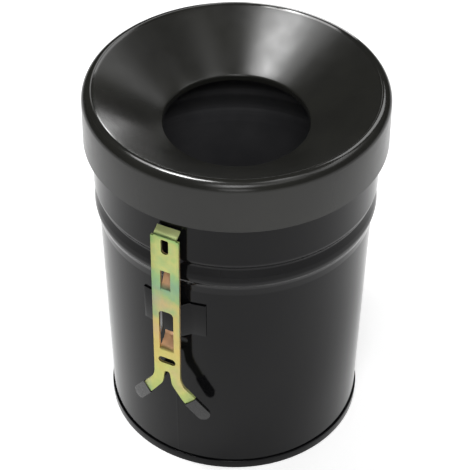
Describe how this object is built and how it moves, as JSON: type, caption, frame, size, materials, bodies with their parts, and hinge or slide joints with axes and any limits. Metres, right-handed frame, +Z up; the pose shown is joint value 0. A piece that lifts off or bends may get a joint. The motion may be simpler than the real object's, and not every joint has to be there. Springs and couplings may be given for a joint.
{
  "type": "ashtray bin",
  "caption": "Round black steel ash and waste bin with a lift-off funnel head that starves a fire, a ridge round the body, and a plated wall bracket with splayed, capped legs.",
  "frame": {"origin": "on the bin's axis, in the plane that the base stands on", "axes": "+Z up along the bin's axis, -Y towards the wall that the bracket is screwed to, +X to the right as seen from the wall"},
  "size_m": [0.3, 0.302, 0.396],
  "materials": {
    "black_satin": "satin black powder coat",
    "black_gloss": "gloss black paint",
    "plain_steel": "plain steel",
    "yellow_zinc": "yellow chromated zinc plate",
    "grey_plastic": "soft grey plastic"
  },
  "bodies": {
    "bin": {"body_shell": "black_gloss", "base_pan": "black_gloss", "hanger_plate": "black_gloss"},
    "head": {"extinguisher_head": "black_satin", "head_clip_right": "plain_steel", "head_clip_back": "plain_steel", "head_clip_left": "plain_steel", "head_clip_front": "plain_steel"},
    "bracket": {"wall_bracket": "yellow_zinc", "leg_cap_left": "grey_plastic", "leg_cap_right": "grey_plastic"}
  },
  "joints": [
    {"name": "head_lift", "type": "slide", "parent": "bin", "child": "head", "axis": [0, 0, 1], "range_m": [0, 0.1]},
    {"name": "bracket_unhook", "type": "slide", "parent": "bin", "child": "bracket", "axis": [0, 0, -1], "range_m": [0, 0.02]}
  ]
}
